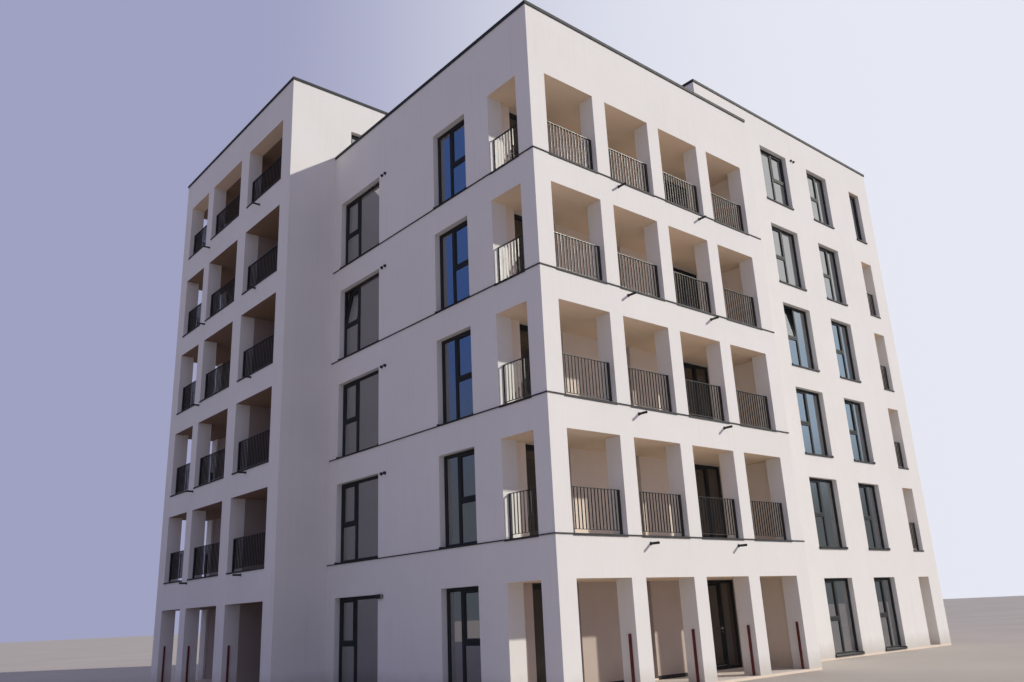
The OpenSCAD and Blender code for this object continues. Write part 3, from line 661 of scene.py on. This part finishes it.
def glazing_trim(name, panes, body):
    """The sloped beads, rubber seals and spacer bars round the panes."""
    piece = Piece(name, SASH, RUBBER, STEEL)
    rim = BEAD_FACE + 0.001
    bead = [(0.0, 0.0), (0.0, rim), (0.004, rim), (BEAD_WIDTH, 0.010), (BEAD_WIDTH, 0.0)]
    start = BEAD_WIDTH - 0.001
    end = start + GASKET_WIDTH
    near, far, sheet = 0.018, 0.026, 0.004
    spacer = [(near, -sheet), (far, -sheet), (far, sheet - GLASS_THICKNESS), (near, sheet - GLASS_THICKNESS)]
    for pane in panes:
        for face, out, swell in ((0.0, 1, 0.004), (-GLASS_THICKNESS, -1, 0.003)):
            gasket = [(start, 0.0), (start, swell), (end, 0.002), (end, 0.0)]
            piece.ring(pane, [(inset, face + out * height) for inset, height in bead])
            piece.ring(pane, [(inset, face + out * height) for inset, height in gasket], 1)
        piece.ring(pane, spacer, 2)
    piece.finish(body)


def lever(piece, place, reach):
    """A lever handle on a small rose, standing out along the place's z axis and reaching along its x."""
    rose, neck, half = (0.016, 0.036, 0.008), 0.011, 0.010
    piece.box((-rose[0], -rose[1], 0.0), rose, 0, 0.003, place)
    piece.turned([(neck, rose[2]), (half, 0.030), (half, 0.046)], place, 16)
    low, high = sorted((0.0, reach))
    piece.box((low - neck, -half, 0.040), (high + neck, half, 0.052), 0, 0.004, place)


def sash_handles(panes, body, name):
    """A handle on the room side of each opening sash."""
    piece = Piece(name, STEEL)
    inwards = Matrix.Rotation(math.pi, 4, "Y") @ Matrix.Rotation(-math.pi / 2, 4, "Z")
    from_glass, reach = 0.026, 0.11
    for pane in panes:
        if pane.sash:
            edge = pane.half_width + from_glass
            lever(piece, pane.place(edge, 0.0, -GLASS_THICKNESS - BEAD_FACE) @ inwards, reach)
    piece.finish(body)


window_panes = [Pane(points) for points in islands("window_glass")]
door_panes = [Pane(points) for points in islands("loggia_door_glass")]
glazing_trim("window_beads", window_panes, BUILDING)
glazing_trim("loggia_door_beads", door_panes, BUILDING)
sash_handles(window_panes + door_panes, BUILDING, "sash_handles")
for door in DOORS:
    leaf_panes = [Pane(points) for points in islands(door.replace("door", "door_glass"))]
    glazing_trim(door + "_beads", leaf_panes, door)


def axes(low, high):
    """The axis that a straight upright panel runs along, and the axis across it."""
    along = 0 if high.x - low.x > high.y - low.y else 1
    return along, 1 - along


def slab_between(along, a0, a1, c0, c1, z0, z1):
    """Two opposite corners from lengths along and across a panel."""
    low, high = Vector((0, 0, min(z0, z1))), Vector((0, 0, max(z0, z1)))
    low[along], high[along] = sorted((a0, a1))
    low[1 - along], high[1 - along] = sorted((c0, c1))
    return low, high


def foot_plate(piece, along, start, sign, middle, floor):
    """A base plate that runs from a post's outer side along the railing, with two bolts and nuts."""
    length, half, thickness = 0.15, 0.042, 0.008
    end, top = start + sign * length, floor + thickness
    piece.box(*slab_between(along, start, end, middle - half, middle + half, floor, top), 0, 0.002)
    washer = [(0.012, 0.0), (0.012, 0.002)]
    nut = [(0.009, 0.002), (0.009, 0.009), (0.007, 0.011)]
    bolt = [(0.005, 0.011), (0.005, 0.019), (0.004, 0.020)]
    for far in (0.085, 0.125):
        at = Vector((0, 0, top))
        at[along], at[1 - along] = start + sign * far, middle
        for profile, sides in ((washer, 16), (nut, 6), (bolt, 10)):
            piece.turned(profile, Matrix.Translation(at), sides, 1)


def railing_feet(node):
    """Base plates under both posts of each railing."""
    piece = Piece(node + "_feet", RAILING, STEEL)
    for low, high in boxes(node):
        along, across = axes(low, high)
        middle = (low[across] + high[across]) / 2
        foot_plate(piece, along, low[along], 1, middle, low.z)
        foot_plate(piece, along, high[along], -1, middle, low.z)
    piece.finish(BUILDING)


def post_feet():
    """Base plates and caps of the bare posts, which stand in pairs at the sides of the ground bays."""
    piece = Piece("ground_post_feet", PRIMER, STEEL)
    rows = {"south": [], "west": [], "east": []}
    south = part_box("ground_posts")[0].y
    for low, high in boxes("ground_posts"):
        side = "west" if low.x < 0 else "east"
        rows["south" if low.y < south + POST else side].append((low, high))
    for row, posts in rows.items():
        along = 0 if row == "south" else 1
        posts.sort(key=lambda ends: ends[0][along])
        for i, (low, high) in enumerate(posts):
            start, sign = (low[along], 1) if i % 2 == 0 else (high[along], -1)
            middle = (low[1 - along] + high[1 - along]) / 2
            foot_plate(piece, along, start, sign, middle, low.z)
            inset, cap = Vector((0.001, 0.001, 0.0)), 0.004
            piece.box(Vector((low.x, low.y, high.z - cap)) + inset, high - inset + UP * cap, 0, 0.0015)
    piece.finish(BUILDING)


def spout_way(low, high):
    """The direction in which a rain spout leaves its wall: along its longer side."""
    if high.x - low.x > high.y - low.y:
        return Vector((1 if low.x > 0 else -1, 0, 0))
    return Vector((0, 1 if low.y > 0 else -1, 0))


def pipe_place(low, high, out):
    """A matrix at a wall pipe's root, with z pointing out of the wall along the pipe, and its length."""
    length = abs((high - low).dot(out))
    root = (low + high) / 2 - out * (length / 2)
    turn = Matrix((UP.cross(out), UP, out)).transposed().to_4x4()
    return Matrix.Translation(root) @ turn, length


def spout_collars():
    """A wall flange and a rolled lip on each rain spout."""
    piece = Piece("spout_collars", METAL)
    pipe, rolled, wide = 0.030, 0.033, 0.044
    flange = [(pipe, 0.0), (wide, 0.0), (wide, 0.003), (0.034, 0.006), (pipe, 0.006)]
    for low, high in boxes("rain_spouts"):
        place, length = pipe_place(low, high, spout_way(low, high))
        piece.turned(flange, place, 24, caps=False)
        lip = [(pipe, length - 0.012), (rolled, length - 0.009), (rolled, length - 0.003), (pipe, length)]
        piece.turned(lip, place, 24, caps=False)
    piece.finish(BUILDING)


def vent_grilles():
    """A narrow flange and five slats in the mouth of each vent."""
    piece = Piece("vent_grilles", METAL, THROAT)
    brim = 0.007
    slats, pitch, sunk, clear = 5, 0.36, 0.011, 0.004
    half, sheet = 0.007, 0.0008
    tilt = Matrix.Rotation(math.radians(35), 4, "X")
    for low, high in boxes("wall_vents"):
        place, length = pipe_place(low, high, outward(low, high))
        radius = (high.z - low.z) / 2
        bore = radius - VENT_WALL
        flange = [(radius, 0.0), (radius + brim, 0.0), (radius + brim, 0.002), (radius, 0.005)]
        piece.turned(flange, place, 32, caps=False)
        for i in range(slats):
            up = (i - slats // 2) * pitch * bore
            reach = math.sqrt(bore ** 2 - (abs(up) + clear) ** 2)
            slat = place @ Matrix.Translation((0, up, length - sunk)) @ tilt
            piece.box((-reach, -sheet, -half), (reach, sheet, half), 0, 0.0, slat)
        piece.turned([(bore, VENT_WALL + 0.0005), (0.001, VENT_WALL + 0.001)], place, 24, 1, caps=False)
    piece.finish(BUILDING)


def lamp_details():
    """The lamp's ribbed milky end, its cover plate with four screws and the housing's seam."""
    low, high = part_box("wall_lamp")
    piece = Piece("lamp_details", METAL, LENS, STEEL)
    y = low.y
    ribs, edge, plate = 7, 0.016, 0.003
    lens = (low.x + 0.003, y - 0.030, low.z + 0.004), (high.x - 0.001, y + 0.002, high.z - 0.004)
    piece.box(*lens, 1, 0.006)
    for i in range(ribs):
        z = low.z + edge + i * (high.z - low.z - 2 * edge) / (ribs - 1)
        rib = (low.x + 0.001, y - 0.031, z - 0.002), (high.x - 0.002, y - 0.001, z + 0.002)
        piece.box(*rib, 1, 0.0015)
    piece.box((low.x - plate, y + 0.012, low.z + 0.008), (low.x, high.y - 0.012, high.z - 0.008), 0, 0.001)
    screw = [(0.0045, 0.0), (0.0045, 0.0012), (0.003, 0.0022)]
    outwards = Matrix.Rotation(math.radians(-90), 4, "Y")
    for across in (y + 0.024, high.y - 0.024):
        for up in (low.z + 0.020, high.z - 0.020):
            place = Matrix.Translation((low.x - plate, across, up)) @ outwards
            piece.turned(screw, place, 12, 2)
    seam = high.x - 0.014
    piece.box((seam, y - 0.001, low.z - 0.001), (seam + 0.003, high.y + 0.001, high.z + 0.001), 0, 0.0004)
    piece.finish(BUILDING)


def sill_caps():
    """Upturned end caps on the window sills."""
    piece = Piece("sill_caps", METAL)
    sheet, rise = 0.004, 0.014
    for low, high in boxes("window_sills"):
        along, across = axes(low, high)
        sides, top = (low[across], high[across]), high.z + rise
        for start, sign in ((low[along], 1), (high[along], -1)):
            piece.box(*slab_between(along, start, start + sign * sheet, *sides, low.z, top), 0, 0.0015)
    piece.finish(BUILDING)


def weep_caps():
    """Small drain covers at the foot of each window frame."""
    piece = Piece("weep_caps", SASH)
    half, below = (0.016, 0.004, 0.004), 0.036
    for pane in window_panes:
        if pane.sash or pane.tilted:
            continue
        for share in (-0.55, 0.55):
            at = pane.place(share * pane.half_width, -pane.half_height - below, BEAD_FACE)
            piece.box((-half[0], -half[1], 0.0), half, 0, 0.0015, at)
    piece.finish(BUILDING)


def top_edges(node):
    """The outline of a node's top: each straight edge with its direction away from the top face."""
    mesh = bmesh.new()
    mesh.from_mesh(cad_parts[node].data)
    bmesh.ops.remove_doubles(mesh, verts=mesh.verts, dist=MERGE)
    bmesh.ops.dissolve_limit(mesh, angle_limit=0.01, verts=mesh.verts, edges=mesh.edges)
    top = max(vert.co.z for vert in mesh.verts)
    found = []
    for edge in mesh.edges:
        a, b = (vert.co.copy() for vert in edge.verts)
        if min(a.z, b.z) < top - MERGE:
            continue
        faces = [face for face in edge.link_faces if faces_up(face)]
        sides = [face for face in edge.link_faces if abs(face.normal.z) < UPRIGHT]
        if len(faces) == 1 and sides:
            found.append((a, b, sides[0].normal.copy()))
    mesh.free()
    return found


def run_of(a, b):
    """The axis that a straight level edge runs along."""
    return 0 if abs((b - a).x) > abs((b - a).y) else 1


def coping_straps(node, over_top):
    """Cover strips over the joints between the lengths of coping sheet."""
    piece = Piece(node + "_straps", COPING)
    low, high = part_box(node)
    for a, b, out in top_edges(node):
        along = run_of(a, b)
        joints = max(int(round((b - a).length / SEAM_SPACING)), 1)
        for i in range(1, joints):
            at = a.lerp(b, i / joints)
            ends = at[along] - STRAP_WIDTH / 2, at[along] + STRAP_WIDTH / 2
            edge, away = at[1 - along], out[1 - along]
            strip = slab_between(along, *ends, edge, edge + away * STRAP_SHEET, low.z, high.z)
            piece.box(*strip, 0, 0.0005)
            if over_top:
                inner = edge - away * (WALL_THICKNESS / 2 + COPING_OVERHANG)
                strip = slab_between(along, *ends, edge, inner, high.z, high.z + STRAP_SHEET)
                piece.box(*strip, 0, 0.0005)
    piece.finish(BUILDING)


def roof_sheets():
    """Welded laps of the roofing sheet, its upstand along the parapets and the bar that holds it."""
    piece = Piece("roof_sheets", MEMBRANE, METAL)
    edges = top_edges("roof_slab")
    low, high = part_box("roof_slab")
    for a, b, out in edges:
        along = run_of(a, b)
        ends = a[along], b[along]
        edge, away = a[1 - along], out[1 - along]
        upstand = slab_between(along, *ends, edge, edge - away * 0.005, high.z, high.z + 0.20)
        piece.box(*upstand, 0, 0.001)
        bar = slab_between(along, *ends, edge, edge - away * 0.008, high.z + 0.175, high.z + 0.205)
        piece.box(*bar, 1, 0.001)
    spacing, least = 1.0, 0.3
    half, gap, lap = 0.04, 0.01, 0.004
    x = low.x + spacing
    while x < high.x - least:
        crossed = sorted(a.y for a, b, out in edges if min(a.x, b.x) < x < max(a.x, b.x))
        for y0, y1 in zip(crossed[::2], crossed[1::2]):
            piece.box((x - half, y0 + gap, high.z), (x + half, y1 - gap, high.z + lap), 0, 0.0015)
        x += spacing
    piece.finish(BUILDING)


def terrace_pavers():
    """Loose pavers on the corner block's roof terrace, with open joints."""
    piece = Piece("terrace_pavers", PAVER)
    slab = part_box("top_floor_slab")
    size, thickness, joint = 0.5, 0.035, 0.006
    gap, least = 0.02, 0.05
    floor = slab[1].z
    low = slab[0].xy + Vector((gap, gap))
    high = Vector((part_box("terrace_east_wall")[0].x - gap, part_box("terrace_north_wall")[0].y - gap))
    y = low.y
    while y < high.y - least:
        x = low.x
        while x < high.x - least:
            corner = (min(x + size, high.x) - joint, min(y + size, high.y) - joint, floor + thickness)
            piece.box((x, y, floor), corner, 0, 0.004)
            x += size
        y += size
    piece.finish(BUILDING)


def foot_strips():
    """The black damp-proof strip along the foot of the ground loggia's back wall, up to its end wall."""
    piece = Piece("foot_strips", RUBBER)
    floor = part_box("ground_slab")[1].z
    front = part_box("corner_ground_wall")[0].y
    end = min(low.x for low, high in boxes("loggia_end_walls") if low.y < front)
    sheet, rise = 0.004, 0.09
    for low, high in boxes("corner_ground_wall"):
        piece.box((low.x, low.y - sheet, floor), (min(high.x, end), low.y, floor + rise), 0, 0.001)
    piece.finish(BUILDING)


def door_furniture(door):
    """Lever handles with roses on both faces, a cylinder and a rain bar on a swinging leaf."""
    piece = Piece(door + "_furniture", STEEL, SASH)
    low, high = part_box(door.replace("door", "door_leaf"))
    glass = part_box(door.replace("door", "door_glass"))
    middle = (glass[0].y + glass[1].y) / 2
    half = middle - low.y
    x = (glass[1].x + high.x) / 2
    for side in (-1, 1):
        facing = Matrix.Rotation(math.radians(-90 * side), 4, "X")
        lever(piece, Matrix.Translation((x, middle + side * half, low.z + HANDLE_HEIGHT)) @ facing, -0.12)
        key = Matrix.Translation((x, middle + side * half, low.z + KEY_HEIGHT)) @ facing
        piece.turned([(0.017, 0.0), (0.017, 0.006), (0.015, 0.008)], key, 20)
        piece.box((-0.004, -0.009, 0.006), (0.004, 0.009, 0.011), 0, 0.001, key)
    bar = (glass[0].x - 0.03, low.y - 0.022, low.z + 0.012), (high.x - 0.01, low.y, low.z + 0.034)
    piece.box(*bar, 1, 0.006)
    piece.finish(door)


for node_name in ("corner_railings", "wing_railings", "east_railings"):
    railing_feet(node_name)
post_feet()
spout_collars()
vent_grilles()
lamp_details()
sill_caps()
weep_caps()
coping_straps("corner_coping", True)
coping_straps("main_coping", False)
roof_sheets()
terrace_pavers()
foot_strips()
for door in DOORS:
    door_furniture(door)


def camera():
    """The photograph's camera: yaw from +X towards +Y, pitch above the horizon and roll."""
    yaw, pitch, roll = (math.radians(a) for a in (CAMERA_YAW, CAMERA_PITCH, CAMERA_ROLL))
    ahead = Vector((math.cos(yaw) * math.cos(pitch), math.sin(yaw) * math.cos(pitch), math.sin(pitch)))
    right = Vector((math.sin(yaw), -math.cos(yaw), 0.0))
    up = right.cross(ahead)
    right, up = (
        right * math.cos(roll) + up * math.sin(roll),
        up * math.cos(roll) - right * math.sin(roll),
    )
    data = bpy.data.cameras.new("camera")
    data.lens = CAMERA_LENS
    data.sensor_width = SENSOR_WIDTH
    data.clip_end = CAMERA_SIGHT
    made = bpy.data.objects.new("camera", data)
    turn = Matrix((right, up, -ahead)).transposed().to_4x4()
    made.matrix_world = Matrix.Translation(CAMERA_AT) @ turn
    bpy.context.scene.collection.objects.link(made)
    bpy.context.scene.camera = made


def sun():
    """The low sun, which lights the loggia front."""
    data = bpy.data.lights.new("sun", "SUN")
    data.energy = SUN_STRENGTH
    data.color = SUN_COLOUR
    data.angle = math.radians(SUN_ANGLE)
    made = bpy.data.objects.new("sun", data)
    made.rotation_mode = "QUATERNION"
    made.rotation_quaternion = Vector(SUN_FROM).to_track_quat("Z", "Y")
    bpy.context.scene.collection.objects.link(made)


def sky():
    """An even cool light. The camera sees a pale hazy backdrop instead, and metal and glass mirror that
    backdrop, white towards the sun and blue away from it."""
    world = bpy.data.worlds.new("sky")
    bpy.context.scene.world = world
    world.use_nodes = True
    nodes, links = world.node_tree.nodes, world.node_tree.links

    def join(kind, operation=None, **inputs):
        """A node whose inputs are given by their place: _0, _1 and so on."""
        made = nodes.new(kind)
        if operation:
            made.operation = operation
        for key, value in inputs.items():
            feed(links, value, made.inputs[int(key[1:])])
        return made

    def span(value, ends):
        """How far a value has got between two ends, eased in and out."""
        made = join("ShaderNodeMapRange", _0=value, _1=ends[0], _2=ends[1])
        made.interpolation_type = "SMOOTHSTEP"
        return made.outputs[0]

    def blend(share, a, b):
        made = nodes.new("ShaderNodeMix")
        made.data_type = "RGBA"
        for place, value in ((0, share), (6, a), (7, b)):
            feed(links, value, made.inputs[place])
        return made.outputs[2]

    def towards(side):
        """How far a direction, seen from above, points to one side: 1 straight at it."""
        dot = join("ShaderNodeVectorMath", "DOT_PRODUCT", _0=direction, _1=(*side, 0.0)).outputs["Value"]
        return join("ShaderNodeMath", "DIVIDE", _0=dot, _1=reach).outputs[0]

    direction = nodes.new("ShaderNodeTexCoord").outputs["Generated"]
    height = join("ShaderNodeSeparateXYZ", _0=direction).outputs["Z"]
    flat = join("ShaderNodeVectorMath", "MULTIPLY", _0=direction, _1=(1.0, 1.0, 0.0)).outputs[0]
    reach = join("ShaderNodeVectorMath", "LENGTH", _0=flat).outputs["Value"]
    path = nodes.new("ShaderNodeLightPath").outputs
    pale = blend(span(height, SKY_RISE), colour(*SKY_LOW), colour(*SKY_HIGH))
    haze = blend(span(towards(HAZE_SIDE), HAZE_SPREAD), colour(*HAZE_FAR), colour(*HAZE_NEAR))
    pale = blend(span(towards(HAZE_SIDE), HAZE_START), pale, haze)
    bright = blend(span(height, BRIGHT_RISE), colour(*BRIGHT_LOW), colour(*BRIGHT_MIDDLE))
    bright = blend(span(height, BRIGHT_TOP), bright, colour(*BRIGHT_HIGH))
    mirrored = blend(span(towards(BRIGHT_SIDE), BRIGHT_SPREAD), pale, bright)
    grey = blend(span(height, BLUE_RISE), colour(*BLUE_LOW), colour(*BLUE_MIDDLE))
    mirrored = blend(span(towards(BLUE_SIDE), BLUE_SPREAD), mirrored, grey)
    aside, above = span(towards(BLUE_SIDE), BLUE_CORE), span(height, BLUE_CORE_RISE)
    core = join("ShaderNodeMath", "MULTIPLY", _0=aside, _1=above).outputs[0]
    mirrored = blend(core, mirrored, colour(*BLUE_HIGH))
    seen = join("ShaderNodeBackground", _0=blend(path["Is Glossy Ray"], pale, mirrored))
    light = nodes["Background"]
    light.inputs["Color"].default_value = colour(*SKY_LIGHT)
    light.inputs["Strength"].default_value = SKY_STRENGTH
    share = join("ShaderNodeMath", "MAXIMUM", _0=path["Is Camera Ray"], _1=path["Is Glossy Ray"])
    share = join("ShaderNodeMath", "MAXIMUM", _0=share.outputs[0], _1=path["Is Transmission Ray"])
    mix = join("ShaderNodeMixShader", _0=share.outputs[0], _1=light.outputs[0], _2=seen.outputs[0])
    links.new(mix.outputs[0], nodes["World Output"].inputs["Surface"])


def ground():
    """The plain pale floor, far enough out to meet the horizon."""
    s = Shader("pale_floor")
    fine = s.noise(0.15, 3.0)
    tone = s.blotched(fine, (0.49, 0.44, 0.38), (0.54, 0.49, 0.43))
    material = s.done(tone, 0.95, specular=0.1)
    mesh = bmesh.new()
    bmesh.ops.create_circle(mesh, cap_ends=True, segments=96, radius=FLOOR_RADIUS)
    data = bpy.data.meshes.new("floor")
    mesh.to_mesh(data)
    mesh.free()
    data.materials.append(material)
    floor = bpy.data.objects.new("floor", data)
    bpy.context.scene.collection.objects.link(floor)


camera()
sun()
sky()
ground()
bpy.context.scene.view_settings.view_transform = "Standard"
